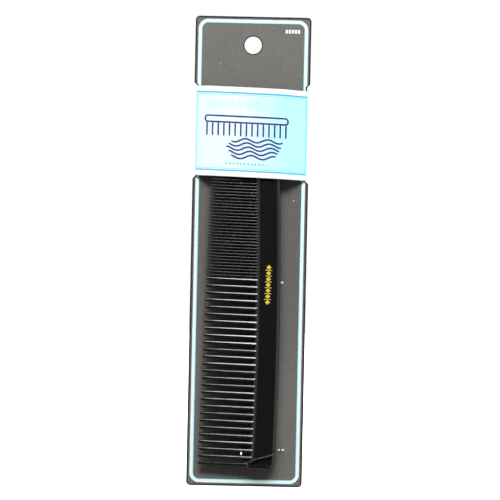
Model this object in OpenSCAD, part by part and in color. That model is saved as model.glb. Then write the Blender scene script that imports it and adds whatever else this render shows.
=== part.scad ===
// Carded hair comb: a black dressing comb held on a hanging display card by a paper sleeve
// round its fine end and by a clear nylon tie over its coarse end.
// X runs across the card, Z up, and the front faces -Y. The origin is the centre of the
// hang hole, in the middle of the card's thickness.

/* [Backing card] */
// Width of the card
card_w = 55; // [52:0.5:64]
// Height of the card
card_h = 223; // [220:1:240]
// Thickness of the card
card_t = 0.6; // [0.4:0.1:1]
// Radius of the card's corners
card_r = 2; // [0.5:0.5:6]
// Diameter of the hang hole
hang_d = 8.2; // [6:0.1:9]
// Distance from the card's top edge to the centre of the hang hole
hang_drop = 13.6; // [8:0.1:16]
// Depth of the side notches that locate the sleeve
notch_depth = 1.4; // [0.8:0.1:2]

/* [Sleeve] */
// Height of the paper sleeve
sleeve_h = 42.4; // [30:0.1:43]
// Drop from the hang hole to the middle of the sleeve's top edge
sleeve_drop = 20.6; // [20:0.1:22]
// Angle that the sleeve's edges lean from square, in degrees
sleeve_lean = 1.8; // [0:0.1:2]
// Thickness of the sleeve paper
paper_t = 0.35; // [0.2:0.05:0.5]
// Width of the glued lap at the back
lap_w = 12; // [6:1:20]

/* [Comb] */
// Angle that the comb leans on its card, in degrees
comb_lean = 1.46; // [0:0.01:1.5]
// Thickness of the spine
spine_t = 4.4; // [3.6:0.1:4.4]
// Width of the spine's flat face, from the roots of the teeth to the back
spine_w = 10.9; // [9:0.1:11]
// Distance from the tips to the back at the coarse end
comb_w = 36.7; // [34:0.1:37]
// How far the back curves in towards the teeth at the fine end
back_sweep = 6.6; // [0:0.1:8]
// Depth of the recessed panel in each face of the spine
recess_depth = 0.45; // [0.2:0.05:0.6]
// Thickness of the teeth at their tips, from front to back
tip_t = 1.7; // [1:0.1:2]

/* [Teeth] */
// Number of coarse teeth between the end tooth and the fine teeth
coarse_n = 26; // [20:1:26]
// Pitch of the coarse teeth
coarse_pitch = 3.355; // [3:0.005:3.36]
// Width of a coarse tooth at its root
coarse_root = 1.8; // [1.2:0.05:1.9]
// Number of fine teeth
fine_n = 58; // [40:1:58]
// Pitch of the fine teeth
fine_pitch = 1.4576; // [1.3:0.0002:1.46]
// Width of a fine tooth at its root
fine_root = 0.85; // [0.5:0.05:1]

/* [Tie] */
// Diameter of the nylon filament
tie_d = 0.5; // [0.4:0.05:0.55]
// Length of each cross bar behind the card
tie_bar_l = 9; // [6:0.5:12]

/* [Hidden] */
$fn = 48;

board = "#6f6d68";
printed = "#d3f2fa";
black = "#151515";
gold = "#caa23a";
nylon = "#dfe8ea";

// Card
card_front = -card_t / 2;
card_back = card_t / 2;
card_top = hang_drop;
card_bottom = hang_drop - card_h;
notch_x = card_w / 2 - notch_depth;
notch_top = -19.5;
notch_left_bottom = -62.3;
notch_right_bottom = -64;
needle_d = 1.4;

// Comb: tips on the local z axis, z up from the coarse end, y through the thickness
comb_gap = 0.4;
comb_origin = [-22.2, card_front - comb_gap - spine_t / 2, -199];
body_l = 176.4;
end_bulge = 0.8;
corner_r = 2.8;
sweep_start = 10;
half_t = spine_t / 2;
face_root = -5.1;
face_back = face_root + spine_w;
edge_root = face_root - 3;
edge_half_t = 0.3;
recess_half_coarse = 4.35;
recess_half_fine = 3.6;
recess_wall = 0.3;
recess_end = 1.6;
rim = 1.2;
end_tooth_w = 1.6;
coarse_start = end_tooth_w / 2 + 3.33;
fine_start = coarse_start + (coarse_n - 1) * coarse_pitch + 1.85;
tip_width_ratio = 0.7;
root_clearance = 0.015;

// Middle of the recessed panel, measured from the tips, at height z
function centre_x(z) =
    comb_w - face_back - back_sweep * pow(max(z - sweep_start, 0) / (body_l - sweep_start), 2);
// Distance in from the nearer end of the spine
function end_distance(z) = min(z + end_bulge, body_l + end_bulge - z);
// How far the rounded corner takes the back in at height z
function corner_in(z) =
    let (d = min(end_distance(z), corner_r)) corner_r - sqrt(pow(corner_r, 2) - pow(corner_r - d, 2));
// How far the bulged end takes the root edge in at height z
function bulge_in(z) = 7 * (1 - sqrt(min(end_distance(z) / end_bulge, 1)));
function recess_at(z) = recess_depth * max(0, min(1, (end_distance(z) - recess_end) / recess_wall));
function recess_half(z) =
    recess_half_coarse + (recess_half_fine - recess_half_coarse) * z / body_l;

// One half of the spine's section at height z, from the back edge round to the root edge
function half_section(z) =
    let (c = centre_x(z), b = c + face_back - corner_in(z),
         m = c + edge_root + bulge_in(z), f = max(c + face_root, m + 0.3),
         q = min(recess_half(z), b - c - rim - recess_wall, c - f - recess_wall - 0.1), d = recess_at(z))
    [[b, half_t - 1.2], [b - 0.35, half_t - 0.35], [b - 1.2, half_t],
     [c + q + recess_wall, half_t], [c + q, half_t - d],
     [c - q, half_t - d], [c - q - recess_wall, half_t],
     [f, half_t], [m, edge_half_t]];
function spine_section(z) =
    let (h = half_section(z)) concat(h, mirrored(h));
corner_steps = [0, 0.15, 0.4, 0.8, 1.2, recess_end, recess_end + recess_wall, 2.4, 2.8];
spine_levels = concat([for (d = corner_steps) d - end_bulge],
                      [for (i = [1 : 15]) corner_r + i * (body_l - 2 * corner_r) / 16],
                      [for (i = [len(corner_steps) - 1 : -1 : 0]) body_l + end_bulge - corner_steps[i]]);

// Sleeve: inner surface of the paper at its creases, as x and y
sleeve_gap = 0.15;
card_gap = 0.05;
cover_gap = 0.2;
tip_crease_x = -19.3;
crown_left_x = 1;
crown_right_x = 14.8;
crown_y = comb_origin[1] - half_t - cover_gap;
fold_x = notch_x + sleeve_gap;
inner = [[-fold_x, card_front - card_gap],
         [tip_crease_x, comb_origin[1] - tip_t / 2 - cover_gap],
         [crown_left_x, crown_y],
         [crown_right_x, crown_y],
         [fold_x, card_front - card_gap],
         [fold_x, card_back + card_gap],
         [-fold_x, card_back + card_gap]];
glue_t = 0.08;
// Outward normal of the paper from crease a to crease b
function outward(a, b) = let (d = (b - a) / norm(b - a)) [d[1], -d[0]];
// Outer surface of the paper at crease i, on the mitre of the two panels that meet there
function outer(i) =
    let (n = len(inner), p = inner[i],
         u = outward(inner[(i + n - 1) % n], p), v = outward(p, inner[(i + 1) % n]))
    p + paper_t * (u + v) / (1 + u * v);

// Tie: route of the filament, from the right needle hole over the spine, down through the
// last gap between the teeth and behind one tooth to the left needle hole
right_hole = [17.3, -191.8];
left_hole = [-1.3, -193.9];
tie_route = [[17.3, 0.8, -191.8], [17.3, -0.8, -191.8], [17.2, -2.4, -191.9], [16.9, -4, -192.1],
             [16.2, -5.2, -192.4], [14.8, -5.7, -193], [12.6, -5.6, -193.8], [10.6, -5.5, -194.4],
             [8.6, -5.5, -195], [6.6, -5.5, -195.5], [5, -5.5, -196], [3.8, -5.4, -196.7],
             [2.8, -5.05, -197.2], [1.8, -4.5, -197.5], [0.9, -3.95, -197.5], [0.25, -3.2, -197.5],
             [0.15, -2.4, -197.4], [-0.1, -1.6, -197.2], [-0.5, -1, -196.9], [-0.8, -0.65, -196.4],
             [-1, -0.6, -195.6], [-1.2, -0.6, -194.8], [-1.3, -0.5, -194.2], [-1.3, -0.1, -193.9],
             [-1.3, 0.8, -193.9]];
tie_sides = 8;
tie_bar_d = 1;

// Rounded rectangle from corner a to corner b
module rounded_plate(a, b, r) {
    translate([a[0] + r, a[1]]) square([b[0] - a[0] - 2 * r, b[1] - a[1]]);
    translate([a[0], a[1] + r]) square([b[0] - a[0], b[1] - a[1] - 2 * r]);
    for (x = [a[0] + r, b[0] - r], y = [a[1] + r, b[1] - r]) translate([x, y]) circle(r = r);
}

// Stands a front-view shape (x, z) up as a plate of the given thickness, from y_front backwards
module upright(y_front, thickness) {
    translate([0, y_front + thickness, 0]) rotate([90, 0, 0]) linear_extrude(thickness) children();
}

// Side notch whose wall is at x = wall, cut out to the side given by sign
module notch(sign, bottom) {
    over = 1;
    out = notch_depth + over;
    polygon([[sign * notch_x, notch_top], [sign * (notch_x + out), notch_top + out],
             [sign * (notch_x + out), bottom - out], [sign * notch_x, bottom]]);
}

module backing_card() {
    color(board) difference() {
        upright(card_front, card_t) difference() {
            rounded_plate([-card_w / 2, card_bottom], [card_w / 2, card_top], card_r);
            notch(-1, notch_left_bottom);
            notch(1, notch_right_bottom);
        }
        rotate([90, 0, 0]) cylinder(d = hang_d, h = card_t + 2, center = true, $fn = 96);
        for (p = [right_hole, left_hole])
            translate([p[0], 0, p[1]]) rotate([90, 0, 0])
                cylinder(d = needle_d, h = card_t + 2, center = true);
    }
}

// A panel of the sleeve from its section (x, y), cut off along the sleeve's leaning edges
module sleeve_panel(section) {
    reach = 80;
    color(printed) intersection() {
        translate([0, 0, -reach]) linear_extrude(reach) polygon(section);
        multmatrix([[1, 0, 0, 0], [0, 1, 0, 0], [-tan(sleeve_lean), 0, 1, -sleeve_drop - sleeve_h]])
            translate([-reach / 2, -reach / 2, 0]) cube([reach, reach, sleeve_h]);
    }
}
module crease_panel(i) { sleeve_panel([inner[i], inner[i + 1], outer(i + 1), outer(i)]); }
module sleeve_left_slope() { crease_panel(0); }
module sleeve_tooth_cover() { crease_panel(1); }
module sleeve_crown() { crease_panel(2); }
module sleeve_right_slope() { crease_panel(3); }
module sleeve_back_right() {
    lap_x = -lap_w / 2;
    sleeve_panel([inner[4], inner[5], [lap_x, inner[5][1]], [lap_x, outer(5)[1]], outer(5), outer(4)]);
}
module sleeve_back_left() {
    lap_in = outer(6)[1] + glue_t;
    step_x = -lap_w / 2 - paper_t - 0.2;
    sleeve_panel([inner[0], inner[6], [step_x + paper_t, inner[6][1]], [step_x + paper_t, lap_in],
                  [lap_w / 2, lap_in], [lap_w / 2, lap_in + paper_t], [step_x, lap_in + paper_t],
                  [step_x, outer(6)[1]], outer(6), outer(0)]);
}
module sleeve_glue() {
    glue_x = lap_w / 2 - 2;
    y = outer(5)[1];
    sleeve_panel([[-glue_x, y], [glue_x, y], [glue_x, y + glue_t], [-glue_x, y + glue_t]]);
}

// Puts a shape from the comb's own frame where the comb lies on the card
module on_card() { translate(comb_origin) rotate([0, comb_lean, 0]) children(); }

module comb_spine() {
    rings = [for (z = spine_levels) spine_section(z)];
    n = len(rings[0]);
    last = len(rings) - 1;
    points = [for (k = [0 : last], p = rings[k]) [p[0], p[1], spine_levels[k]]];
    sides = [for (k = [0 : last - 1], i = [0 : n - 1], half = [0, 1])
             let (j = (i + 1) % n, a = k * n + i, b = k * n + j, c = a + n, d = b + n)
             half == 0 ? [a, c, b] : [b, c, d]];
    caps = [[for (i = [0 : n - 1]) i], [for (i = [n - 1 : -1 : 0]) last * n + i]];
    color(black) on_card() polyhedron(points, concat(sides, caps));
}

// The same points on the other side of the x axis, in reverse order
function mirrored(points) = [for (i = [len(points) - 1 : -1 : 0]) [points[i][0], -points[i][1]]];

// One tooth of the given root width, its middle at height z. Its root follows the lean of the
// spine there, and stops just short of it.
module tooth(z, root_w) {
    c = centre_x(z) - root_clearance;
    lean = centre_x(z + 0.5) - centre_x(z - 0.5);
    tip_w = root_w * tip_width_ratio;
    round_in = 0.5;
    side = [[0, tip_t / 2 - 0.35], [round_in, tip_t / 2],
            [c + face_root, half_t], [c + edge_root, edge_half_t]];
    profile = concat(side, mirrored(side));
    edge = [[0, tip_w * 0.3], [round_in, tip_w / 2], [comb_w, root_w / 2]];
    outline = concat(edge, mirrored(edge));
    translate([0, 0, z]) intersection() {
        multmatrix([[1, 0, lean, 0], [0, 1, 0, 0], [0, 0, 1, 0]])
            translate([0, 0, -root_w]) linear_extrude(2 * root_w) polygon(profile);
        rotate([90, 0, 0]) translate([0, 0, -spine_t]) linear_extrude(2 * spine_t) polygon(outline);
    }
}
module coarse_teeth() {
    color(black) on_card() for (i = [0 : coarse_n - 1]) tooth(coarse_start + i * coarse_pitch, coarse_root);
}
module fine_teeth() {
    color(black) on_card() for (i = [0 : fine_n - 1]) tooth(fine_start + i * fine_pitch, fine_root);
}
module coarse_end_tooth() { color(black) on_card() tooth(end_tooth_w / 2, end_tooth_w); }
module fine_end_tooth() { color(black) on_card() tooth(body_l - end_tooth_w / 2, end_tooth_w); }

// Stamped ornament on the panel: lozenges with a bar between each pair
module foil_mark() {
    foil_t = 0.05;
    middle = 86.3;
    step = 2.75;
    lozenge = 1.6;
    bar = [3.2, 0.32];
    color(gold) on_card() translate([centre_x(middle), 0, middle])
        upright(-half_t + recess_depth - foil_t, foil_t) {
            for (i = [-3 : 3]) translate([0, i * step]) rotate(45) square(lozenge, center = true);
            for (i = [-3 : 2]) translate([0, (i + 0.5) * step]) square(bar, center = true);
        }
}

// Filament: a ring of points at each stop of the route, square to the way it runs there
function heading(i) =
    let (a = tie_route[max(i - 1, 0)], b = tie_route[min(i + 1, len(tie_route) - 1)]) (b - a) / norm(b - a);
function side_way(i) = let (h = heading(i), s = cross(h, [0.2, 0.3, 1])) s / norm(s);
function tie_ring(i) =
    let (h = heading(i), u = side_way(i), v = cross(h, u))
    [for (k = [0 : tie_sides - 1]) let (turn = k * 360 / tie_sides)
     tie_route[i] + tie_d / 2 * (cos(turn) * u + sin(turn) * v)];
module tie_filament() {
    last = len(tie_route) - 1;
    points = [for (i = [0 : last], p = tie_ring(i)) p];
    sides = [for (i = [0 : last - 1], k = [0 : tie_sides - 1], half = [0, 1])
             let (j = (k + 1) % tie_sides, a = i * tie_sides + k, b = i * tie_sides + j,
                  c = a + tie_sides, d = b + tie_sides)
             half == 0 ? [a, b, c] : [b, d, c]];
    caps = [[for (k = [tie_sides - 1 : -1 : 0]) k], [for (k = [0 : tie_sides - 1]) last * tie_sides + k]];
    color(nylon) polyhedron(points, concat(sides, caps));
}
module tie_bars() {
    bar_y = tie_route[0][1] + tie_bar_d / 2;
    color(nylon) for (p = [right_hole, left_hole])
        translate([p[0], bar_y, p[1] - tie_bar_l / 2]) cylinder(d = tie_bar_d, h = tie_bar_l);
}

backing_card();
sleeve_left_slope();
sleeve_tooth_cover();
sleeve_crown();
sleeve_right_slope();
sleeve_back_right();
sleeve_back_left();
sleeve_glue();
comb_spine();
coarse_teeth();
fine_teeth();
coarse_end_tooth();
fine_end_tooth();
foil_mark();
tie_filament();
tie_bars();
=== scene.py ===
"""Looks of a carded hair comb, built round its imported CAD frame.

Lengths are in millimetres until a mesh is made. X runs across the card, Z up, and the front
faces -Y. The origin is the centre of the hang hole. The comb's own frame has its tips on the
local z axis, x from the tips to the back, and z up from the coarse end.
"""
import math
import random

import bmesh
import bpy
import numpy as np
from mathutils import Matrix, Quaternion, Vector

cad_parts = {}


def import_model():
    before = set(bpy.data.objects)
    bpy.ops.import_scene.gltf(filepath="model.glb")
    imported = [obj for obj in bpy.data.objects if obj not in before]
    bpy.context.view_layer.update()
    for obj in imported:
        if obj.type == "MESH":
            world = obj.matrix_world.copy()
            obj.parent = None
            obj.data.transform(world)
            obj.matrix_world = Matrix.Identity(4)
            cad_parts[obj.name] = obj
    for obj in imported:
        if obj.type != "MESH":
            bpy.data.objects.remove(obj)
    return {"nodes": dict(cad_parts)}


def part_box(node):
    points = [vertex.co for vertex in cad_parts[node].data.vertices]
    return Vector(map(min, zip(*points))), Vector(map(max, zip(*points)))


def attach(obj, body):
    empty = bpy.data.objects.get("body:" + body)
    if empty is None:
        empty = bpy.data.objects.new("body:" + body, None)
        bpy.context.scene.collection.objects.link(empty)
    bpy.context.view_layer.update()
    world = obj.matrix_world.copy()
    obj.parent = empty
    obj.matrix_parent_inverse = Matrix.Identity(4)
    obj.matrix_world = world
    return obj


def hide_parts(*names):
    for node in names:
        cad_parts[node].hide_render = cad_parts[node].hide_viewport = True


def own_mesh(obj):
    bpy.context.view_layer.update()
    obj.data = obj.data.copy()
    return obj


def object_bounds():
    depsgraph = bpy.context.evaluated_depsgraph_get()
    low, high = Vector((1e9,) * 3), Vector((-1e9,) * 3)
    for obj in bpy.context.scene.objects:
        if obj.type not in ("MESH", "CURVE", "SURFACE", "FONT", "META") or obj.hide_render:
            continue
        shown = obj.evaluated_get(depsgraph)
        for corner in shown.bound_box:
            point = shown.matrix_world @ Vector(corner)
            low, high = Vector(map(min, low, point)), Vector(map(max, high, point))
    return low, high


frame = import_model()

cad_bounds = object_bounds()
MM = 0.001
random.seed(11)

# ---------------------------------------------------------------- sizes, in millimetres


def box_mm(node):
    """Lowest and highest corners of a CAD node, in millimetres."""
    low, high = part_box(node)
    return low / MM, high / MM


card_low, card_high = box_mm("backing_card")
spine_low, spine_high = box_mm("comb_spine")
bars_low, bars_high = box_mm("tie_bars")

# Card
CARD_FRONT = card_low.y
CARD_BACK = card_high.y
CARD_R = 2.0
CARD_BEVEL = 0.05
HANG_R = 4.1
NOTCH_X = 26.1
NOTCH_TOP = -19.5
NOTCH_LEFT_BOTTOM = -62.3
NOTCH_RIGHT_BOTTOM = -64.0
NEEDLE_R = 0.7
RIGHT_HOLE = (17.3, -191.8)
LEFT_HOLE = (-1.3, -193.9)
INK_T = 0.03
INK_LIFT = 0.01

# Sleeve, along its section and down from its top edge
PAPER_T = 0.35
SLEEVE_H = 42.4
SLEEVE_PRINT_H = SLEEVE_H - 0.05
SLEEVE_DROP = 20.6
SLEEVE_SLOPE = math.tan(math.radians(1.8))
FOLD_X = NOTCH_X + 0.15
CROWN_LEFT_X = 1.0
CROWN_RIGHT_X = 14.8
TIPS_X = -19.3
COMB_GAP = 0.2
CARD_GAP = 0.05
LAP = 6.0
GLUE_T = 0.08

# Comb, placed on the card
COMB_X = -22.2
COMB_Y = (spine_low.y + spine_high.y) / 2
COMB_Z = -199.0
COMB_LEAN = math.radians(1.46)

# Spine, measured across from the middle of its panel
HALF_T = (spine_high.y - spine_low.y) / 2
COMB_W = 36.7
FACE_BACK = 5.8
ROOT_COARSE = -5.9
ROOT_FINE = -5.35
EDGE_ROOT = -8.1
EDGE_HALF_T = 0.3
BODY_L = 176.4
END_BULGE = 0.8
CORNER_R = 3.2
SWEEP = 6.6
SWEEP_START = 10.0
RECESS_DEPTH = 0.45
RECESS_END = 1.6
RECESS_WALL = 0.3
RECESS_END_WALL = 0.12
PANEL_HALF = 4.35
PANEL_TAPER = 0.75
RIDGE_BEVEL = 1.3
END_ROUND = 0.9
END_PULL = 7.0
ROOT_SLOPE_MIN = 0.3
BACK_LAND_MIN = 1.5

# Teeth
TIP_HALF_T = 0.85
ROOT_HALF_T = 1.6
TIP_END_HALF_T = 0.74
TIP_TAPER = 0.1
TIP_TAPER_L = 2.4
TIP_ROUND = 0.6
TIP_FADE = 6.0
TIP_W_SHARE = 0.35
TOOTH_ROUND = 0.13
ROOT_SINK = 0.5
END_TOOTH_W = 1.6
COARSE_N = 26
COARSE_PITCH = 3.355
COARSE_ROOT_W = 1.8
COARSE_START = END_TOOTH_W / 2 + 3.33
FINE_N = 58
FINE_PITCH = 1.4576
FINE_ROOT_W = 0.85
FINE_START = COARSE_START + (COARSE_N - 1) * COARSE_PITCH + 1.85

# Tie
TIE_R = 0.25
TIE_SHIFT = 0.45
TIE_ROUTE = [
    (17.3, -0.8, -191.8), (17.2, -2.4, -191.9), (16.9, -4, -192.1), (16.2, -5.2, -192.4),
    (14.8, -5.7, -193), (12.6, -5.6, -193.8), (10.6, -5.5, -194.4), (8.6, -5.5, -195),
    (6.6, -5.5, -195.5), (5, -5.5, -196), (3.8, -5.4, -196.7), (2.8, -5.05, -197.2),
    (1.8, -4.5, -197.5), (0.9, -3.95, -197.5), (0.25, -3.2, -197.5), (0.15, -2.4, -197.4),
    (-0.1, -1.6, -197.2), (-0.5, -1, -196.9), (-0.8, -0.65, -196.4), (-1, -0.6, -195.6),
    (-1.2, -0.6, -194.8), (-1.3, -0.5, -194.2),
]

# ---------------------------------------------------------------- materials


def shader_material(name, color, roughness, specular=0.5, metallic=0.0):
    """A material whose colour and finish are constants on its own shader."""
    material = bpy.data.materials.new(name)
    material.use_nodes = True
    shader = material.node_tree.nodes["Principled BSDF"]
    shader.inputs["Base Color"].default_value = (*color, 1)
    shader.inputs["Roughness"].default_value = roughness
    shader.inputs["Specular IOR Level"].default_value = specular
    shader.inputs["Metallic"].default_value = metallic
    return material, shader


def node(owner, kind, **settings):
    """A new node of that kind in a material or world, with its properties set."""
    made = owner.node_tree.nodes.new(kind)
    for key, value in settings.items():
        setattr(made, key, value)
    return made


def join(owner, source, target):
    owner.node_tree.links.new(source, target)


def place_coordinates(material):
    """Object coordinates in millimetres."""
    coordinates = node(material, "ShaderNodeTexCoord")
    mapping = node(material, "ShaderNodeMapping")
    mapping.inputs["Scale"].default_value = (1 / MM, 1 / MM, 1 / MM)
    join(material, coordinates.outputs["Object"], mapping.inputs["Vector"])
    return mapping.outputs["Vector"]


def noise(material, vector, size, detail=3.0):
    """Noise whose blobs are about that many millimetres across."""
    made = node(material, "ShaderNodeTexNoise")
    made.inputs["Scale"].default_value = 1 / size
    made.inputs["Detail"].default_value = detail
    join(material, vector, made.inputs["Vector"])
    return made.outputs["Fac"]


def ramp(owner, value, stops):
    """A colour ramp through (position, colour) stops."""
    made = node(owner, "ShaderNodeValToRGB")
    elements = made.color_ramp.elements
    while len(elements) < len(stops):
        elements.new(0.5)
    for element, (position, color) in zip(elements, stops):
        element.position = position
        element.color = (*color, 1)
    join(owner, value, made.inputs["Fac"])
    return made.outputs["Color"]


def spread(material, value, low, high):
    """Noise values stretched to run from low to high."""
    made = node(material, "ShaderNodeMapRange")
    made.inputs["From Min"].default_value = 0.3
    made.inputs["From Max"].default_value = 0.7
    made.inputs["To Min"].default_value = low
    made.inputs["To Max"].default_value = high
    join(material, value, made.inputs["Value"])
    return made.outputs["Result"]


def mixed(material, factor, first, second, blend="MIX"):
    """Two colours mixed by a factor; a colour is a socket or a constant."""
    made = node(material, "ShaderNodeMix", data_type="RGBA", blend_type=blend)
    if isinstance(factor, float):
        made.inputs[0].default_value = factor
    else:
        join(material, factor, made.inputs[0])
    for socket, color in ((made.inputs[6], first), (made.inputs[7], second)):
        if isinstance(color, tuple):
            socket.default_value = (*color, 1)
        else:
            join(material, color, socket)
    return made.outputs[2]


def bump(material, shader, height, distance, strength=1.0):
    """Bump of that many millimetres on the shader."""
    made = node(material, "ShaderNodeBump")
    made.inputs["Strength"].default_value = strength
    made.inputs["Distance"].default_value = distance * MM
    join(material, height, made.inputs["Height"])
    join(material, made.outputs["Normal"], shader.inputs["Normal"])


def scaled(color, share):
    return tuple(c * share for c in color)


def painted_shade_band(material, place):
    """Painted shade: the board is darkened across the middle of the card's height and left lighter
    towards its top and bottom.
    """
    axes = node(material, "ShaderNodeSeparateXYZ")
    join(material, place, axes.inputs["Vector"])
    height = node(material, "ShaderNodeMapRange")
    height.inputs["From Min"].default_value = card_low.z
    height.inputs["From Max"].default_value = card_high.z
    join(material, axes.outputs["Z"], height.inputs["Value"])
    levels = ((0.0, 0.93), (0.2, 0.93), (0.38, 0.8), (0.64, 0.77), (0.78, 0.84), (0.9, 1.0))
    return ramp(material, height.outputs["Result"], [(at, (level,) * 3) for at, level in levels])


def board_material(name, color, fibre=0.06, speck=None, uneven=False):
    """Uncoated or printed board: fine fibre grain, soft clouds and a few specks, and, if uneven, painted
    shade across the middle of the card's height.
    """
    material, shader = shader_material(name, color, 0.6, 0.3)
    place = place_coordinates(material)
    grain = noise(material, place, 0.6)
    clouds = noise(material, place, 9.0, 2.0)
    base = ramp(material, grain, [(0.3, scaled(color, 1 - fibre)), (0.7, scaled(color, 1 + fibre))])
    shade = ramp(material, clouds, [(0.3, (0.95, 0.95, 0.95)), (0.7, (1.0, 1.0, 1.0))])
    base = mixed(material, 1.0, base, shade, "MULTIPLY")
    if uneven:
        # Painted shade: darker across the middle of the card's height
        base = mixed(material, 1.0, base, painted_shade_band(material, place), "MULTIPLY")
    if speck:
        dots = node(material, "ShaderNodeTexVoronoi")
        dots.inputs["Scale"].default_value = 1 / 5.5
        join(material, place, dots.inputs["Vector"])
        mask = ramp(material, dots.outputs["Distance"], [(0.0, (1, 1, 1)), (0.035, (0, 0, 0))])
        base = mixed(material, mask, base, speck)
    join(material, base, shader.inputs["Base Color"])
    join(material, spread(material, grain, 0.5, 0.7), shader.inputs["Roughness"])
    bump(material, shader, grain, 0.02)
    return material


def sleeve_material():
    """Coated paper, near white with a pale cyan tint that deepens towards the right."""
    material, shader = shader_material("sleeve_print", (0.8, 0.95, 0.97), 0.42, 0.4)
    place = place_coordinates(material)
    axes = node(material, "ShaderNodeSeparateXYZ")
    join(material, place, axes.inputs["Vector"])
    across = node(material, "ShaderNodeMapRange")
    across.inputs["From Min"].default_value = -FOLD_X
    across.inputs["From Max"].default_value = FOLD_X
    join(material, axes.outputs["X"], across.inputs["Value"])
    clouds = noise(material, place, 14.0, 2.0)
    drift = node(material, "ShaderNodeMath", operation="MULTIPLY_ADD")
    drift.inputs[1].default_value = 0.5
    join(material, clouds, drift.inputs[0])
    join(material, across.outputs["Result"], drift.inputs[2])
    field = ramp(material, drift.outputs["Value"], [
        (0.25, (0.8, 0.98, 0.98)), (0.62, (0.84, 0.98, 0.96)), (0.9, (0.62, 0.98, 0.98)),
        (1.0, (0.55, 0.98, 0.98)),
    ])
    fibres = noise(material, place, 0.5)
    join(material, field, shader.inputs["Base Color"])
    join(material, spread(material, fibres, 0.36, 0.5), shader.inputs["Roughness"])
    bump(material, shader, fibres, 0.012)
    return material


def paper_material(name, color):
    material, shader = shader_material(name, color, 0.7, 0.25)
    fibres = noise(material, place_coordinates(material), 0.3, 5.0)
    base = ramp(material, fibres, [(0.3, scaled(color, 0.93)), (0.7, color)])
    join(material, base, shader.inputs["Base Color"])
    bump(material, shader, fibres, 0.03)
    return material


def ink_material(name, color, roughness=0.4):
    """Printed ink: slightly uneven cover. The same build also paints the shade along the sleeve's folds.
    """
    material, shader = shader_material(name, color, roughness, 0.4)
    cover = noise(material, place_coordinates(material), 0.8)
    lighter = tuple(c + (1 - c) * 0.06 for c in color)
    base = ramp(material, cover, [(0.35, color), (0.75, lighter)])
    join(material, base, shader.inputs["Base Color"])
    return material


def comb_material(name, smoothest, roughest):
    """Black moulded plastic with a faint ripple and rubbed patches, between those roughnesses."""
    material, shader = shader_material(name, (0.0085, 0.0085, 0.009), roughest, 0.9)
    place = place_coordinates(material)
    ripple = noise(material, place, 2.2, 2.0)
    rubbed = noise(material, place, 0.5, 4.0)
    base = ramp(material, rubbed, [(0.35, (0.005, 0.005, 0.0055)), (0.75, (0.0075, 0.0075, 0.008))])
    join(material, base, shader.inputs["Base Color"])
    join(material, spread(material, rubbed, smoothest, roughest), shader.inputs["Roughness"])
    bump(material, shader, ripple, 0.005)
    return material


def foil_material():
    """Hot-stamped gold foil, broken up by the texture of the plastic below."""
    material, shader = shader_material("gold_foil", (1.0, 0.8, 0.1), 0.5, 0.5, 0.35)
    grain = noise(material, place_coordinates(material), 0.25)
    base = ramp(material, grain, [(0.3, (0.8, 0.52, 0.03)), (0.6, (1.0, 0.86, 0.12))])
    join(material, base, shader.inputs["Base Color"])
    join(material, spread(material, grain, 0.4, 0.6), shader.inputs["Roughness"])
    bump(material, shader, grain, 0.02)
    return material


def nylon_material():
    """Half-clear nylon with a dark tint. The tint is partly the nylon's own smoky colour and partly
    painted shade for the needle holes that its ends fill.
    """
    material, shader = shader_material("nylon_with_hole_shade", (0.1, 0.105, 0.11), 0.3, 0.3)
    shader.inputs["Transmission Weight"].default_value = 0.4
    shader.inputs["IOR"].default_value = 1.5
    cloud = noise(material, place_coordinates(material), 2.0)
    # Dark base colour: the nylon's own tint, and painted shade where the ends sit in the needle holes
    base = ramp(material, cloud, [(0.3, (0.06, 0.063, 0.066)), (0.7, (0.08, 0.083, 0.086))])
    join(material, base, shader.inputs["Base Color"])
    join(material, spread(material, cloud, 0.35, 0.45), shader.inputs["Roughness"])
    return material


# The front print carries painted shade across the middle of the card's height
BOARD_PRINT = board_material("board_print", (0.172, 0.169, 0.155), fibre=0.13, speck=(0.5, 0.5, 0.5),
                             uneven=True)
BOARD_BACK = board_material("board_back", (0.62, 0.61, 0.58))
BOARD_CORE = board_material("board_core", (0.3, 0.29, 0.27), fibre=0.15)
SLEEVE_PRINT = sleeve_material()
SLEEVE_INSIDE = paper_material("sleeve_inside", (0.86, 0.86, 0.84))
# The back's bare paper is darker than the same paper inside: painted shade
SLEEVE_BACK_SHADED = paper_material("sleeve_back", (0.7, 0.72, 0.72))
TORN_PAPER = paper_material("torn_paper", (0.97, 0.97, 0.95))
BORDER_INK = ink_material("border_ink", (0.84, 1.0, 1.0))
HAIRLINE_INK = ink_material("hairline_ink", (0.25, 0.85, 1.0))
# Near-black colour of the line along the card's cut edge and round its hang hole
CARD_EDGE_DARK = ink_material("card_edge_dark", (0.004, 0.003, 0.009), 0.6)
WHITE_INK = ink_material("white_ink", (0.95, 0.99, 0.99))
CYAN_INK = ink_material("cyan_ink", (0.0, 0.5, 0.95))
PALE_CYAN_INK_AND_FOLD_SHADE = ink_material("pale_cyan_ink_and_fold_shade", (0.22, 0.82, 0.95))
FAINT_CYAN_INK = ink_material("faint_cyan_ink", (0.5, 0.92, 0.93))
BRIGHT_CYAN_INK = ink_material("bright_cyan_ink", (0.0, 0.72, 0.95))
VIOLET_INK = ink_material("violet_ink", (0.012, 0.001, 0.24), 0.6)
COMB_GLOSS = comb_material("comb_gloss", 0.22, 0.28)
COMB_SATIN = comb_material("comb_satin", 0.36, 0.44)
GOLD_FOIL = foil_material()
NYLON_WITH_HOLE_SHADE = nylon_material()
GLUE = paper_material("glue_bead", (0.78, 0.74, 0.6))

# ---------------------------------------------------------------- mesh helpers


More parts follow.
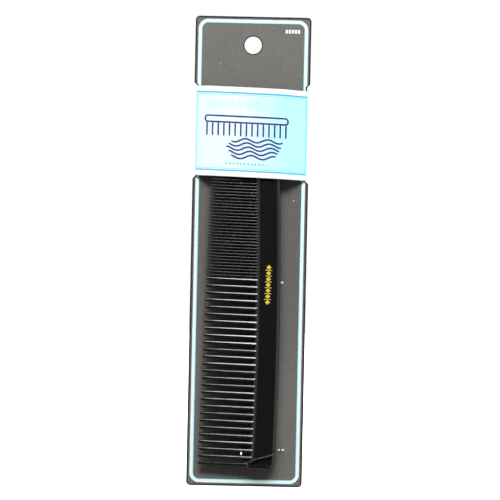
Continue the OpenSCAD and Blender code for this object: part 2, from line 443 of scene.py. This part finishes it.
class Shape:
    """Points in millimetres and faces, gathered before a mesh is made."""

    def __init__(self):
        self.points = []
        self.faces = []

    def add(self, points, faces):
        start = len(self.points)
        self.points.extend(points)
        self.faces.extend([tuple(start + i for i in face) for face in faces])

    def loft(self, rings, closed=False):
        """A solid through rings of equal size, with caps unless the last ring meets the first."""
        size = len(rings[0])
        count = len(rings)
        faces = []
        for k in range(count if closed else count - 1):
            for i in range(size):
                j = (i + 1) % size
                after = (k + 1) % count
                faces.append((k * size + i, k * size + j, after * size + j, after * size + i))
        if not closed:
            faces.append(tuple(range(size)))
            faces.append(tuple(range((count - 1) * size, count * size)))
        self.add([point for ring in rings for point in ring], faces)

    def mesh(self, name, sharp=35.0):
        """The finished mesh in metres, smooth but for edges sharper than that many degrees."""
        made = bpy.data.meshes.new(name)
        made.from_pydata([Vector(p) * MM for p in self.points], [], self.faces)
        return finished(made, sharp)


def finished(made, sharp):
    """Welds the mesh, turns its faces outwards and smooths it."""
    bm = bmesh.new()
    bm.from_mesh(made)
    bmesh.ops.remove_doubles(bm, verts=bm.verts, dist=1e-7)
    bmesh.ops.recalc_face_normals(bm, faces=bm.faces)
    bm.to_mesh(made)
    bm.free()
    made.shade_smooth()
    made.set_sharp_from_angle(angle=math.radians(sharp))
    return made


def piece(name, mesh, materials, body, replaced=()):
    """Shows the mesh as a piece that rides on a body."""
    made = bpy.data.objects.new(name, mesh)
    bpy.context.scene.collection.objects.link(made)
    for material in materials:
        made.data.materials.append(material)
    weighted = made.modifiers.new("even_shading", "WEIGHTED_NORMAL")
    weighted.keep_sharp = True
    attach(made, body)
    if replaced:
        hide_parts(*replaced)
    return made


def arc(centre, radius, start, end, steps):
    """Points on a circle between two angles in degrees."""
    angles = [math.radians(start + (end - start) * i / steps) for i in range(steps + 1)]
    return [(centre[0] + radius * math.cos(a), centre[1] + radius * math.sin(a)) for a in angles]


def rounded_rectangle(left, bottom, right, top, radius, steps=10):
    """Outline from the bottom right corner, anticlockwise."""
    corners = [(right, bottom, -90), (right, top, 0), (left, top, 90), (left, bottom, 180)]
    outline = []
    for x, z, start in corners:
        centre = (x - math.copysign(radius, x - (left + right) / 2),
                  z - math.copysign(radius, z - (bottom + top) / 2))
        outline.extend(arc(centre, radius, start, start + 90, steps))
    return outline


def ease(points, cuts, steps=4, closed=True):
    """Rounds each corner of a line with a curve that starts up to cuts[i] before it."""
    count = len(points)
    eased = []
    for i, (corner, cut) in enumerate(zip(points, cuts)):
        if not closed and i in (0, count - 1):
            eased.append(corner)
            continue
        here = Vector(corner)
        before = Vector(points[i - 1]) - here
        after = Vector(points[(i + 1) % count]) - here
        start = here + before.normalized() * min(cut, before.length * 0.48)
        end = here + after.normalized() * min(cut, after.length * 0.48)
        for k in range(steps + 1):
            t = k / steps
            eased.append(tuple(start * (1 - t) ** 2 + here * 2 * t * (1 - t) + end * t ** 2))
    return eased


def resampled(points, step):
    """The same line with a point at least every step."""
    line = [points[0]]
    for a, b in zip(points, points[1:]):
        parts = max(1, math.ceil(math.dist(a, b) / step))
        for k in range(1, parts + 1):
            line.append(tuple(p + (q - p) * k / parts for p, q in zip(a, b)))
    return line


def plate_mesh(name, loops, thickness, bevel, front):
    """A flat plate with holes from front-view loops (x, z), its front at y = front."""
    curve = bpy.data.curves.new(name, "CURVE")
    curve.dimensions = "2D"
    curve.fill_mode = "BOTH"
    curve.extrude = (thickness / 2 - bevel) * MM
    curve.bevel_depth = bevel * MM
    curve.bevel_resolution = 1
    curve.offset = -bevel * MM
    for loop in loops:
        spline = curve.splines.new("POLY")
        spline.points.add(len(loop) - 1)
        for point, (x, z) in zip(spline.points, loop):
            point.co = (x * MM, z * MM, 0, 1)
        spline.use_cyclic_u = True
    holder = bpy.data.objects.new(name + "_outline", curve)
    mesh = bpy.data.meshes.new_from_object(holder)
    bpy.data.objects.remove(holder)
    for vertex in mesh.vertices:
        x, z, out = vertex.co
        vertex.co = (x, (front + thickness / 2) * MM - out, z)
    return finished(mesh, 10.0)


def on_comb(x, y, z):
    """A point of the comb's own frame, placed on the card."""
    cos, sin = math.cos(COMB_LEAN), math.sin(COMB_LEAN)
    return (COMB_X + x * cos + z * sin, COMB_Y + y, COMB_Z - x * sin + z * cos)


# ---------------------------------------------------------------- backing card


def notch(side, bottom, inset):
    """Corners of a side notch in the card's outline, from the bottom up."""
    edge = side * (card_high.x - inset)
    inner = side * (NOTCH_X - inset)
    depth = card_high.x - NOTCH_X
    shift = inset * math.tan(math.radians(22.5))
    return [(edge, bottom - depth - shift), (inner, bottom - shift),
            (inner, NOTCH_TOP + shift), (edge, NOTCH_TOP + depth + shift)]


def card_outline(inset=0.0):
    """The card's outline, or a line that far inside it."""
    outline = rounded_rectangle(card_low.x + inset, card_low.z + inset, card_high.x - inset,
                                card_high.z - inset, CARD_R - inset)
    quarter = len(outline) // 4
    right = notch(1, NOTCH_RIGHT_BOTTOM, inset)
    left = notch(-1, NOTCH_LEFT_BOTTOM, inset)[::-1]
    return outline[:quarter] + right + outline[quarter:3 * quarter] + left + outline[3 * quarter:]


def backing_card():
    holes = [arc((0, 0), HANG_R, 0, 357, 119)]
    holes += [arc(hole, NEEDLE_R, 0, 345, 23) for hole in (RIGHT_HOLE, LEFT_HOLE)]
    thickness = CARD_BACK - CARD_FRONT
    mesh = plate_mesh("card", [card_outline()] + holes, thickness, CARD_BEVEL, CARD_FRONT)
    made = piece("card", mesh, [BOARD_PRINT, BOARD_BACK, BOARD_CORE], "pack",
                 ["backing_card"])
    for face in mesh.polygons:
        if face.normal.y > 0.5:
            face.material_index = 1
        elif face.normal.y > -0.5:
            face.material_index = 2
    return made


def card_frame(name, inset, width, ink):
    """A printed line round the card, that far inside its edge."""
    corner = 6.1
    bevel = 0.005
    loops = []
    for d in (inset, inset + width):
        loops.append(rounded_rectangle(card_low.x + d, card_low.z + d, card_high.x - d, card_high.z - d,
                                       corner - d, 16))
    mesh = plate_mesh(name, loops, INK_T, bevel, CARD_FRONT - INK_LIFT - INK_T)
    return piece(name, mesh, [ink], "pack")


def border_prints():
    """A pale border with a cyan hairline on its inner side."""
    inset = 1.5
    width = 1.45
    gap = 0.01
    hairline = 0.28
    card_frame("border_print", inset, width, BORDER_INK)
    card_frame("border_hairline", inset + width + gap, hairline, HAIRLINE_INK)


def card_edge_line():
    """A dark line along the card's cut edge and round its hang hole."""
    width = 0.75
    rim = 0.45
    shape = Shape()
    stroke(shape, card_outline(CARD_BEVEL + width / 2), width, on_card, closed=True)
    stroke(shape, arc((0, 0), HANG_R + CARD_BEVEL + rim / 2, 0, 357, 119), rim, on_card, closed=True)
    return piece("card_edge_line", shape.mesh("card_edge_line"), [CARD_EDGE_DARK], "pack")


def stroke(shape, line, width, place, closed=False):
    """A line of that width along (u, v) points, laid on a surface by place(u, v, lift); it draws printed
    lines and the painted fold shade.
    """
    count = len(line)
    rings = []
    for i, here in enumerate(line):
        before = line[i - 1] if closed or i else here
        after = line[(i + 1) % count] if closed or i < count - 1 else here
        way = (Vector(after) - Vector(before)).normalized()
        side = Vector((-way.y, way.x)) * width / 2
        if not closed and i in (0, count - 1):
            side *= 0.6
        a, b = Vector(here) + side, Vector(here) - side
        rings.append([place(a.x, a.y, INK_LIFT), place(a.x, a.y, INK_LIFT + INK_T),
                      place(b.x, b.y, INK_LIFT + INK_T), place(b.x, b.y, INK_LIFT)])
    shape.loft(rings, closed)


def patch(shape, outline, place):
    """A printed patch inside an outline of (u, v) points."""
    shape.loft([[place(u, v, lift) for u, v in outline] for lift in (INK_LIFT, INK_LIFT + INK_T)])


def on_card(u, v, lift):
    return (u, CARD_FRONT - lift, v)


def corner_tally():
    """A short row of plain pale bars at the card's top right."""
    first, pitch, width = 15.3, 1.45, 1.1
    bottom, top = 5.9, 7.7
    shape = Shape()
    for i in range(5):
        u = first + i * pitch
        patch(shape, rounded_rectangle(u, bottom, u + width, top, 0.25, 3), on_card)
    return piece("corner_tally", shape.mesh("corner_tally"), [WHITE_INK], "pack")


def ragged_patch(centre, radius, cuts, seed):
    """Outline of a torn patch."""
    uneven = 0.3
    draw = random.Random(seed)
    outline = []
    for i in range(cuts):
        a = math.tau * i / cuts
        r = radius * (1 + draw.uniform(-uneven, uneven))
        outline.append((centre[0] + r * math.cos(a), centre[1] + r * math.sin(a)))
    return outline


def torn_board():
    """Board torn up beside the right needle hole, and scuffs where the print is rubbed off."""
    right_x, right_z = RIGHT_HOLE
    spots = [((right_x - 1.1, right_z), 0.45), ((right_x + 1.05, right_z + 0.1), 0.38),
             ((16.1, -112.3), 0.55), ((20.8, -73.4), 0.3), ((-15.3, -8.8), 0.22)]
    loops = [ragged_patch(centre, radius, 10, i) for i, (centre, radius) in enumerate(spots)]
    thickness, bevel, lift = 0.09, 0.02, 0.01
    mesh = plate_mesh("torn_board", loops, thickness, bevel, CARD_FRONT - thickness - lift)
    return piece("torn_board", mesh, [TORN_PAPER], "pack")


# ---------------------------------------------------------------- sleeve


def sleeve_middle_line():
    """Middle of the paper as (x, y), from the inner end of the lap round the front to its outer end."""
    half = PAPER_T / 2
    out = FOLD_X + half
    front_y = CARD_FRONT - CARD_GAP - half
    back_y = CARD_BACK + CARD_GAP + half
    lap_y = back_y + PAPER_T + GLUE_T
    # The outer end steps over the edge of the inner end just before the lap
    step_from, step_to = -LAP - 0.5, -LAP - 0.1
    crown_y = COMB_Y - HALF_T - COMB_GAP - half
    tips_y = COMB_Y - TIP_HALF_T - COMB_GAP - half
    corners = [(-LAP, back_y), (out, back_y), (out, front_y), (CROWN_RIGHT_X, crown_y),
               (CROWN_LEFT_X, crown_y), (TIPS_X, tips_y), (-out, front_y), (-out, back_y),
               (step_from, back_y), (step_to, lap_y), (LAP, lap_y)]
    cuts = [0, 0.35, 0.35, 1.0, 1.2, 1.0, 0.35, 0.35, 0.3, 0.3, 0]
    return resampled(ease(corners, cuts, 5, closed=False), 1.6)


def sleeve_sides():
    """Outer and inner lines of the paper's section, half a thickness either side of its middle."""
    line = [Vector(p) for p in sleeve_middle_line()]
    outer = []
    inner = []
    for i, here in enumerate(line):
        way = (line[min(i + 1, len(line) - 1)] - line[max(i - 1, 0)]).normalized()
        side = Vector((-way.y, way.x)) * PAPER_T / 2
        outer.append(here + side)
        inner.append(here - side)
    return outer, inner


SLEEVE_OUTER, SLEEVE_INNER = sleeve_sides()
front_line = sorted((p.x, p.y) for p in SLEEVE_OUTER if p.y < CARD_FRONT)
FRONT_X = [p[0] for p in front_line]
FRONT_Y = [p[1] for p in front_line]


def sleeve_z(x, down):
    """Height of the sleeve's surface that far down from its leaning top edge."""
    return -SLEEVE_DROP - SLEEVE_SLOPE * x - down


def paper_sleeve():
    """One band of paper, folded round the card and the comb, its ends lapped behind."""
    levels = [SLEEVE_H * i / 12 for i in range(13)]
    rings = []
    for out, inn in zip(SLEEVE_OUTER, SLEEVE_INNER):
        ring = [(out.x, out.y, sleeve_z(out.x, d)) for d in levels]
        ring += [(inn.x, inn.y, sleeve_z(inn.x, d)) for d in reversed(levels)]
        rings.append(ring)
    shape = Shape()
    shape.loft(rings)
    mesh = shape.mesh("sleeve")
    made = piece("sleeve", mesh, [SLEEVE_PRINT, SLEEVE_INSIDE, SLEEVE_BACK_SHADED], "pack", [
        "sleeve_left_slope", "sleeve_tooth_cover", "sleeve_crown", "sleeve_right_slope",
        "sleeve_back_right", "sleeve_back_left",
    ])
    paint_sleeve(mesh)
    return made


def paint_sleeve(mesh):
    """Leaves the paper bare on the sleeve's inside and cut edges, and on its unprinted back, whose paper
    is toned darker as painted shade.
    """
    middle = Vector((0, COMB_Y, 0)) * MM
    for face in mesh.polygons:
        inward = (middle - face.center)
        inward.z = 0
        behind = face.center.y > CARD_BACK * MM
        facing = face.normal.y < -0.5 if behind else face.normal.dot(inward.normalized()) > 0.3
        if facing or abs(face.normal.z) > 0.7:
            face.material_index = 1
        # The back gets the darker paper, as painted shade
        elif behind:
            face.material_index = 2


def on_sleeve(u, down, lift):
    """A point of the sleeve's front, u across and down from its top edge."""
    y = float(np.interp(u, FRONT_X, FRONT_Y))
    return (u, y - lift, sleeve_z(u, down))


def sleeve_line(shape, points, width):
    stroke(shape, resampled(points, 0.9), width, on_sleeve)


def sleeve_loop(shape, points, width):
    """A closed line that follows the sleeve's curve."""
    stroke(shape, resampled(points + points[:1], 0.9)[:-1], width, on_sleeve, closed=True)


def sleeve_print(name, shape, ink):
    return piece(name, shape.mesh(name, 60.0), [ink], "pack")


def edge_lines(shape, reach, down, width):
    """One line that far down from the top of the print, and one as far up from its bottom."""
    for at in (down, SLEEVE_PRINT_H - down):
        sleeve_line(shape, [(-reach, at), (reach, at)], width)


def sleeve_bands():
    """White bands along the sleeve's edges."""
    shape = Shape()
    edge_lines(shape, reach=26.2, down=1.3, width=2.5)
    return sleeve_print("sleeve_bands", shape, WHITE_INK)


def sleeve_rules():
    """Cyan rules that frame the printed field."""
    shape = Shape()
    edge_lines(shape, reach=26.1, down=2.8, width=0.6)
    return sleeve_print("sleeve_rules", shape, CYAN_INK)


def fine_rules_and_fold_shade():
    """Paler printed rules inside the frame, and pale cyan lines along the folds that are painted shade of
    the fold edges.
    """
    fold_u, end, width = 25.9, 3.1, 0.4
    shape = Shape()
    edge_lines(shape, reach=25.7, down=3.75, width=0.22)
    # Painted shade: lines where the paper turns round the folds
    for u in (-fold_u, fold_u):
        sleeve_line(shape, [(u, end), (u, SLEEVE_PRINT_H - end)], width)
    return sleeve_print("fine_rules_and_fold_shade", shape, PALE_CYAN_INK_AND_FOLD_SHADE)


def comb_drawing():
    """Line drawing of a plain comb: an outlined back with a row of teeth below it."""
    left, right = -21.9, 17.2
    top, back_h, tooth_h = 13.9, 2.9, 6.5
    corner, margin, gap, width = 1.2, 0.9, 0.2, 0.75
    teeth = 15
    shape = Shape()
    sleeve_loop(shape, rounded_rectangle(left, top, right, top + back_h, corner, 5), width)
    root = top + back_h
    for i in range(teeth):
        u = left + margin + (right - left - 2 * margin) * i / (teeth - 1)
        sleeve_line(shape, [(u, root + gap), (u, root + tooth_h)], width)
    return sleeve_print("comb_drawing", shape, VIOLET_INK)


def strand_drawing():
    """Wavy strands of hair, side by side."""
    left, right = -11.8, 15.0
    top, pitch = 25.1, 1.95
    swing, wave, lag = 0.85, 10.5, 0.7
    start_step, end_step, width = 1.2, 0.8, 0.75
    steps = 36
    shape = Shape()
    for i in range(5):
        start = left + start_step * abs(i - 2)
        end = right - end_step * i
        line = []
        for k in range(steps + 1):
            u = start + (end - start) * k / steps
            line.append((u, top + i * pitch + swing * math.sin((u - i * lag) * math.tau / wave)))
        stroke(shape, line, width, on_sleeve)
    return sleeve_print("strand_drawing", shape, VIOLET_INK)


def dot_row():
    """A row of small cyan dots and dashes under the strands."""
    first, pitch, down = -11.4, 1.7, 36.2
    dash_half, dash_w, dot_r = 0.5, 0.8, 0.45
    shape = Shape()
    for i in range(11):
        u = first + i * pitch
        if i % 3 == 1:
            sleeve_line(shape, [(u - dash_half, down), (u + dash_half, down)], dash_w)
        else:
            patch(shape, arc((u, down), dot_r, 0, 330, 11), on_sleeve)
    return sleeve_print("dot_row", shape, BRIGHT_CYAN_INK)


def pale_lozenges():
    """A faint row of cyan lozenges across the top of the field."""
    first, pitch, down = -18.5, 4.2, 8.3
    half_w, half_h, width = 1.3, 1.6, 0.35
    shape = Shape()
    for i in range(9):
        u = first + i * pitch
        corners = [(u - half_w, down), (u, down - half_h), (u + half_w, down), (u, down + half_h)]
        sleeve_loop(shape, corners, width)
    return sleeve_print("pale_lozenges", shape, FAINT_CYAN_INK)


# ---------------------------------------------------------------- comb


def centre_x(z):
    """Middle of the recessed panel, measured from the tips, at height z."""
    along = max(z - SWEEP_START, 0) / (BODY_L - SWEEP_START)
    return COMB_W - FACE_BACK - SWEEP * along ** 2


def end_distance(z):
    return max(min(z + END_BULGE, BODY_L + END_BULGE - z), 0)


def quarter_in(distance, radius):
    """How far a quarter circle has turned in, that far from where it ends."""
    d = min(distance, radius)
    return radius - math.sqrt(max(radius ** 2 - (radius - d) ** 2, 0))


def root_line(z):
    """Where the teeth end at the foot of the ridge, from the middle of the panel."""
    return ROOT_COARSE + (ROOT_FINE - ROOT_COARSE) * z / BODY_L


def root_flare(z):
    """How far the root line runs out along an end tooth, where a fillet joins them."""
    inner_side = 1.2
    flare = 0.0
    # Each end: how far z is past its end tooth, and the fillet's reach and height
    for distance, reach, height in ((z - inner_side, 2.2, 3.8), (BODY_L - inner_side - z, 1.6, 2.6)):
        t = min(max(1 - distance / height, 0), 1)
        flare += reach * (1 - math.sqrt(1 - t ** 2))
    return flare


def spine_section(z):
    """The spine's section at height z: rounded ridges, recessed panels and a thin root edge."""
    end = end_distance(z)
    c = centre_x(z)
    t = HALF_T - quarter_in(end, END_ROUND)
    back = c + FACE_BACK - quarter_in(end, CORNER_R)
    flare = root_flare(z)
    edge = c + EDGE_ROOT - flare + END_PULL * (1 - math.sqrt(min(end / END_BULGE, 1)))
    root = max(c + root_line(z) - flare, edge + ROOT_SLOPE_MIN)
    half = min(PANEL_HALF - PANEL_TAPER * z / BODY_L, back - c - BACK_LAND_MIN - RECESS_WALL)
    recess = t - RECESS_DEPTH * min(max((end - RECESS_END) / RECESS_END_WALL, 0), 1)
    crest = root + RIDGE_BEVEL
    # Each corner of the front half: its place across, its height and how far it is rounded
    front = [(back, t - 1.6, 0.3), (back - 0.35, t - 1.0, 0.25), (back - 1.4, t - 0.05, 0.3),
             (c + half + RECESS_WALL, t, 0.15), (c + half, recess, 0.12),
             (crest + RECESS_WALL + 0.15, recess, 0.12), (crest + 0.1, t, 0.12),
             (crest, t - 0.05, 0.1), (root, t - RIDGE_BEVEL, 0.2), (edge, EDGE_HALF_T, 0.12)]
    corners = [(x, -y) for x, y, cut in front] + [(x, y) for x, y, cut in reversed(front)]
    cuts = [cut for x, y, cut in front] + [cut for x, y, cut in reversed(front)]
    return [on_comb(x, y, z) for x, y in ease(corners, cuts, 4)]


def spine_levels():
    """Heights of the spine's sections, close together where its ends turn."""
    ends = [0, 0.04, 0.12, 0.25, 0.4, 0.6, 0.8, 1.0, 1.25, 1.45, RECESS_END, RECESS_END + RECESS_END_WALL,
            1.9, 2.3, 2.6, 3.0, 3.4, 3.8, 4.3, 4.8, 5.3, 6.0]
    low = [d - END_BULGE for d in ends]
    high = [BODY_L + END_BULGE - d for d in reversed(ends)]
    start, end = low[-1], high[0]
    middle = [start + (end - start) * i / 40 for i in range(1, 40)]
    return low + middle + high


def spine():
    shape = Shape()
    shape.loft([spine_section(z) for z in spine_levels()])
    return piece("comb_back", shape.mesh("comb_back", 42.0), [COMB_GLOSS], "comb",
                 ["comb_spine"])


def between(ends, share):
    return ends[0] + (ends[1] - ends[0]) * share


def tooth_section(half_w, half_t, slant, flat, shoulder, roll):
    """Section of a tooth across it: a narrow front, slanted shoulders and drafted sides."""
    drop = half_w * (shoulder - flat) * slant
    quarter = [(flat * half_w, half_t), (shoulder * half_w, half_t - drop), (half_w, 0.0)]
    corners = [(w, -y) for w, y in quarter]
    corners += [(w, y) for w, y in reversed(quarter[:2])]
    corners += [(-w, y) for w, y in quarter[:2]]
    corners += [(-w, -y) for w, y in reversed(quarter)]
    cuts = [TOOTH_ROUND * half_w] * len(corners)
    cos, sin = math.cos(roll), math.sin(roll)
    return [(w * cos - y * sin, w * sin + y * cos) for w, y in ease(corners, cuts, 2)]


def tooth(shape, z, root_w, slant, flat, shoulder=0.9, roll_range=0.03):
    """A tooth at height z, lofted from its rounded tip to inside the spine's ridge.

    Its slant and the share of its width that is flat are each given at the tip and at the root.
    """
    root = centre_x(z) + root_line(z) + ROOT_SINK
    tip_half = root_w * TIP_W_SHARE
    roll = random.uniform(-roll_range, roll_range)
    stops = [0, 0.06, 0.18, 0.36, 0.6, 1.2, 2.4, 3.6, 6, 9, 12, 15, 18, 21, root - 0.9, root]
    rings = []
    for x in stops:
        half_w = tip_half + (root_w / 2 - tip_half) * x / COMB_W
        half_t = between((TIP_HALF_T, ROOT_HALF_T), x / root)
        if x < TIP_TAPER_L:
            half_t = TIP_END_HALF_T + TIP_TAPER * x
        turn = math.sqrt(1 - (1 - min(max(x, 0.004) / TIP_ROUND, 1)) ** 2)
        section = tooth_section(half_w * turn, half_t * turn, between(slant, min(x / TIP_FADE, 1)),
                                between(flat, x / root), shoulder, roll)
        rings.append([on_comb(x, y, z + w) for w, y in section])
    shape.loft(rings)


def teeth_row(name, nodes, heights, finish, **form):
    shape = Shape()
    for z in heights:
        tooth(shape, z, **form)
    return piece(name, shape.mesh(name, 50.0), [finish], "comb", nodes)


def all_teeth():
    coarse = [COARSE_START + i * COARSE_PITCH for i in range(COARSE_N)]
    fine = [FINE_START + i * FINE_PITCH for i in range(FINE_N)]
    ends = {"root_w": END_TOOTH_W, "slant": (0.2, 0.2), "flat": (0.5, 0.5)}
    teeth_row("coarse_tooth_row", ["coarse_teeth"], coarse, COMB_GLOSS, root_w=COARSE_ROOT_W,
              slant=(0.34, 0.49), flat=(0.45, 0.05))
    teeth_row("fine_tooth_row", ["fine_teeth"], fine, COMB_SATIN, root_w=FINE_ROOT_W,
              slant=(0.2, 0.29), flat=(0.4, 0.2), shoulder=0.85)
    teeth_row("coarse_end", ["coarse_end_tooth"], [END_TOOTH_W / 2], COMB_GLOSS, **ends)
    teeth_row("fine_end", ["fine_end_tooth"], [BODY_L - END_TOOTH_W / 2], COMB_GLOSS, **ends)


def foil_ornament():
    """Stamped lozenges with a bar between each pair."""
    middle = 86.3
    step = 2.75
    half_w, half_h = 1.25, 1.1
    bar_half_w, bar_half_h = 1.6, 0.17
    rounding, bar_rounding = 0.25, 0.12
    sunk, proud = 0.02, 0.045
    recess_y = -HALF_T + RECESS_DEPTH
    shape = Shape()

    def stamp(outline):
        rings = []
        for y in (recess_y + sunk, recess_y - proud):
            rings.append([on_comb(centre_x(middle) + x, y, middle + z) for x, z in outline])
        shape.loft(rings)

    lozenge = ease([(-half_w, 0), (0, -half_h), (half_w, 0), (0, half_h)], [rounding] * 4, 3)
    for i in range(-3, 4):
        stamp([(x, z + i * step) for x, z in lozenge])
    for i in range(-3, 3):
        z = (i + 0.5) * step
        stamp(rounded_rectangle(-bar_half_w, z - bar_half_h, bar_half_w, z + bar_half_h, bar_rounding, 3))
    return piece("foil_ornament", shape.mesh("foil_ornament"), [GOLD_FOIL], "comb",
                 ["foil_mark"])


# ---------------------------------------------------------------- tie


def smooth_route(points, parts):
    """Catmull-Rom curve through the points, with that many parts between each pair."""
    line = []
    last = len(points) - 1
    for i in range(last):
        a, b, c, d = (Vector(points[j]) for j in (max(i - 1, 0), i, i + 1, min(i + 2, last)))
        for k in range(parts):
            t = k / parts
            line.append(0.5 * ((2 * b) + (c - a) * t + (2 * a - 5 * b + 4 * c - d) * t ** 2
                               + (3 * b - a - 3 * c + d) * t ** 3))
    line.append(Vector(points[-1]))
    return line


def tube(shape, line, radii, sides=12):
    """A round tube along the line, with a radius at each point."""
    rings = []
    # Any direction that the line doesn't start along
    side = Vector((0.3, 0.2, 1))
    for i, here in enumerate(line):
        way = (line[min(i + 1, len(line) - 1)] - line[max(i - 1, 0)]).normalized()
        side = (side - way * side.dot(way)).normalized()
        up = way.cross(side)
        turns = [math.tau * k / sides for k in range(sides)]
        rings.append([here + radii[i] * (math.cos(a) * side + math.sin(a) * up) for a in turns])
    shape.loft(rings)


def tie_filament():
    """Filament over the comb, on a mesh of its own. It is cut before the comb comes out."""
    line = smooth_route(TIE_ROUTE, 4)
    shape = Shape()
    tube(shape, line, [TIE_R] * len(line))
    made = piece("filament", shape.mesh("filament", 60.0), [NYLON_WITH_HOLE_SHADE], "pack",
                 ["tie_filament"])
    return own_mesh(made)


def tie_ends():
    """Ends of the filament through the card, each moulded to a cross bar behind it.

    The left end is pulled against the right side of its hole, so the hole stays partly open.
    """
    bar_y = (bars_low.y + bars_high.y) / 2
    bar_r = (bars_high.y - bars_low.y) / 2
    half = (bars_high.z - bars_low.z - abs(RIGHT_HOLE[1] - LEFT_HOLE[1])) / 2
    flare = 0.2
    shape = Shape()
    for (x, z), front, shift in ((RIGHT_HOLE, -0.9, 0.0), (LEFT_HOLE, -0.5, TIE_SHIFT)):
        x += shift
        steps = [i / 10 for i in range(11)]
        line = [Vector((x, front + (bar_y - front) * s, z)) for s in steps]
        tube(shape, line, [TIE_R + flare * s ** 6 for s in steps])
        # The bar's ends are rounded off
        stops = [-1, -0.985, -0.95, -0.9, -0.6, -0.3, 0, 0.3, 0.6, 0.9, 0.95, 0.985, 1]
        bar = [Vector((x, bar_y, z + half * s)) for s in stops]
        radii = [bar_r * min(1, 0.35 + 2.9 * math.sqrt(1 - abs(s))) for s in stops]
        tube(shape, bar, radii, 16)
    return piece("tie_ends", shape.mesh("tie_ends", 50.0), [NYLON_WITH_HOLE_SHADE], "pack",
                 ["tie_bars"])


# ---------------------------------------------------------------- stage, light and camera


def floor():
    """A pale floor just under the card. It throws no light back at the object."""
    gap, thickness, reach = 1.5, 5.0, 1500.0
    top = card_low.z - gap
    shape = Shape()
    shape.loft([[(-reach, -reach, z), (reach, -reach, z), (reach, reach, z), (-reach, reach, z)]
                for z in (top - thickness, top)])
    made = bpy.data.objects.new("floor", shape.mesh("floor"))
    bpy.context.scene.collection.objects.link(made)
    material, shader = shader_material("floor_white", (0.95, 0.95, 0.95), 0.8, 0.1)
    shader.inputs["Emission Color"].default_value = (1, 1, 1, 1)
    shader.inputs["Emission Strength"].default_value = 0.7
    made.data.materials.append(material)
    made.visible_diffuse = False
    made.visible_glossy = False
    made.visible_shadow = False


def area_light(name, power, width, height, distance, azimuth, elevation):
    """A soft box that faces the middle of the object, its direction measured from the front."""
    low, high = cad_bounds
    aim = (low + high) / 2
    a, e = math.radians(azimuth), math.radians(elevation)
    way = Vector((math.sin(a) * math.cos(e), -math.cos(a) * math.cos(e), math.sin(e)))
    data = bpy.data.lights.new(name, "AREA")
    data.shape = "RECTANGLE"
    data.size = width
    data.size_y = height
    data.energy = power
    lamp = bpy.data.objects.new(name, data)
    lamp.location = aim + way * distance
    lamp.rotation_euler = way.to_track_quat("Z", "Y").to_euler()
    bpy.context.scene.collection.objects.link(lamp)


def sky_light(sky, forward, stops):
    """World light whose level depends on how far forward of the object it comes from.

    Each stop is a share of the way forward and the level of the light there.
    """
    light = node(sky, "ShaderNodeBackground")
    shade = ramp(sky, forward, [(share, (level,) * 3) for share, level in stops])
    join(sky, shade, light.inputs["Color"])
    return light.outputs["Background"]


def either(sky, question, no, yes):
    """One light or the other, by what the light path node says of the ray."""
    path = node(sky, "ShaderNodeLightPath")
    pick = node(sky, "ShaderNodeMixShader")
    join(sky, path.outputs[question], pick.inputs["Fac"])
    join(sky, no, pick.inputs[1])
    join(sky, yes, pick.inputs[2])
    return pick.outputs["Shader"]


def world():
    """White for the camera, and for everything else bright at the sides and dim in front."""
    sky = bpy.data.worlds.new("studio")
    bpy.context.scene.world = sky
    sky.use_nodes = True
    sky.node_tree.nodes.clear()
    direction = node(sky, "ShaderNodeTexCoord")
    axes = node(sky, "ShaderNodeSeparateXYZ")
    forward = node(sky, "ShaderNodeMath", operation="MULTIPLY")
    forward.inputs[1].default_value = -1.0
    join(sky, direction.outputs["Generated"], axes.inputs["Vector"])
    join(sky, axes.outputs["Y"], forward.inputs[0])
    level = forward.outputs["Value"]
    matt = sky_light(sky, level, ((0.0, 0.9), (0.3, 0.9), (0.62, 0.14), (0.85, 0.04)))
    gloss = sky_light(sky, level, ((0.0, 0.52), (0.25, 0.52), (0.48, 0.06), (0.85, 0.018)))
    seen = node(sky, "ShaderNodeBackground")
    seen.inputs["Color"].default_value = (1, 1, 1, 1)
    seen.inputs["Strength"].default_value = 1.05
    lit = either(sky, "Is Glossy Ray", matt, gloss)
    output = node(sky, "ShaderNodeOutputWorld")
    join(sky, either(sky, "Is Camera Ray", lit, seen.outputs["Background"]), output.inputs["Surface"])


def camera():
    """A long lens square to the card, rolled a little, as high as the middle of the object."""
    low, high = cad_bounds
    nudge = Vector((0.55, 0, 0.7))
    aim = (low + high) / 2 + nudge * MM
    aim.y = CARD_FRONT * MM
    data = bpy.data.cameras.new("camera")
    data.lens = 120
    data.sensor_width = 36
    frame_width = 237.35 * MM
    distance = frame_width / 2 / (data.sensor_width / 2 / data.lens)
    made = bpy.data.objects.new("camera", data)
    made.location = aim + Vector((0, -distance, 0))
    made.rotation_mode = "QUATERNION"
    upright = Vector((0, 1, 0)).to_track_quat("-Z", "Y")
    roll_axis = Vector((0, -1, 0))
    roll = math.radians(1.22)
    made.rotation_quaternion = Quaternion(roll_axis, roll) @ upright
    bpy.context.scene.collection.objects.link(made)
    bpy.context.scene.camera = made


# ---------------------------------------------------------------- the whole object

camera()
world()
area_light("key", power=91, width=2.2, height=0.6, distance=2.3, azimuth=0, elevation=57)
area_light("back_fill", power=15, width=0.7, height=0.7, distance=2.0, azimuth=160, elevation=50)
floor()

backing_card()
border_prints()
card_edge_line()
corner_tally()
torn_board()

paper_sleeve()
sleeve_bands()
sleeve_rules()
fine_rules_and_fold_shade()
comb_drawing()
strand_drawing()
dot_row()
pale_lozenges()
frame["nodes"]["sleeve_glue"].data.materials.clear()
frame["nodes"]["sleeve_glue"].data.materials.append(GLUE)

spine()
all_teeth()
foil_ornament()

tie_filament()
tie_ends()

bpy.context.scene.view_settings.view_transform = "Standard"
